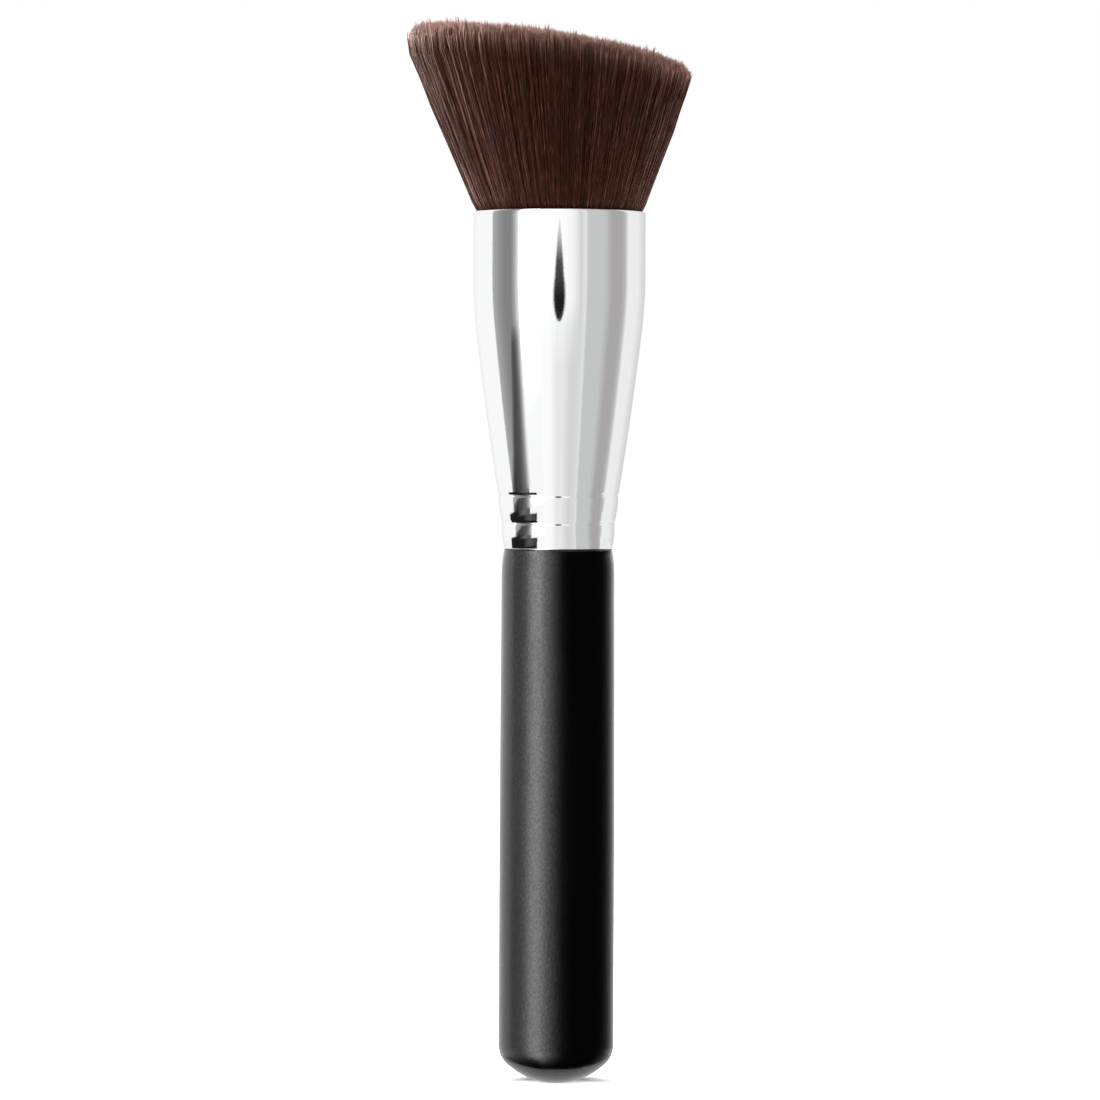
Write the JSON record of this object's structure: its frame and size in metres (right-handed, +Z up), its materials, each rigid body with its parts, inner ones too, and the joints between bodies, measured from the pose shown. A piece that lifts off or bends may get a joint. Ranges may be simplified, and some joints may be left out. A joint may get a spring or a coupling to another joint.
{
  "type": "foundation brush",
  "caption": "Short-handled foundation brush with a dense slant-cut synthetic tuft, a flared bright ferrule and a matt black round handle.",
  "frame": {"origin": "centre of the small flat on the handle's end", "axes": "+Z up the handle towards the tuft; -X towards the tuft's long side; -Y towards the side in the picture"},
  "size_m": [0.0401, 0.0399, 0.1489],
  "materials": {
    "handle_wood": "plain turned beech, hidden under the lacquer",
    "handle_lacquer": "black soft-touch lacquer with a fine matt grain",
    "tenon_glue": "cured adhesive",
    "ferrule_plate": "bright polished plating",
    "cup_metal": "plain pressed metal, hidden in the ferrule",
    "epoxy": "cured clear amber epoxy",
    "binding_thread": "twisted cotton thread",
    "bristle": "dark brown synthetic fibre with lighter reddish tips"
  },
  "bodies": {
    "root": {"handle_core": "handle_wood", "handle_lacquer": "handle_lacquer", "tenon_glue": "tenon_glue", "ferrule": "ferrule_plate", "tuft_cup": "cup_metal", "potting_epoxy": "epoxy", "root_binding": "binding_thread", "bristle_roots": "bristle", "bristles": "bristle"}
  },
  "joints": []
}
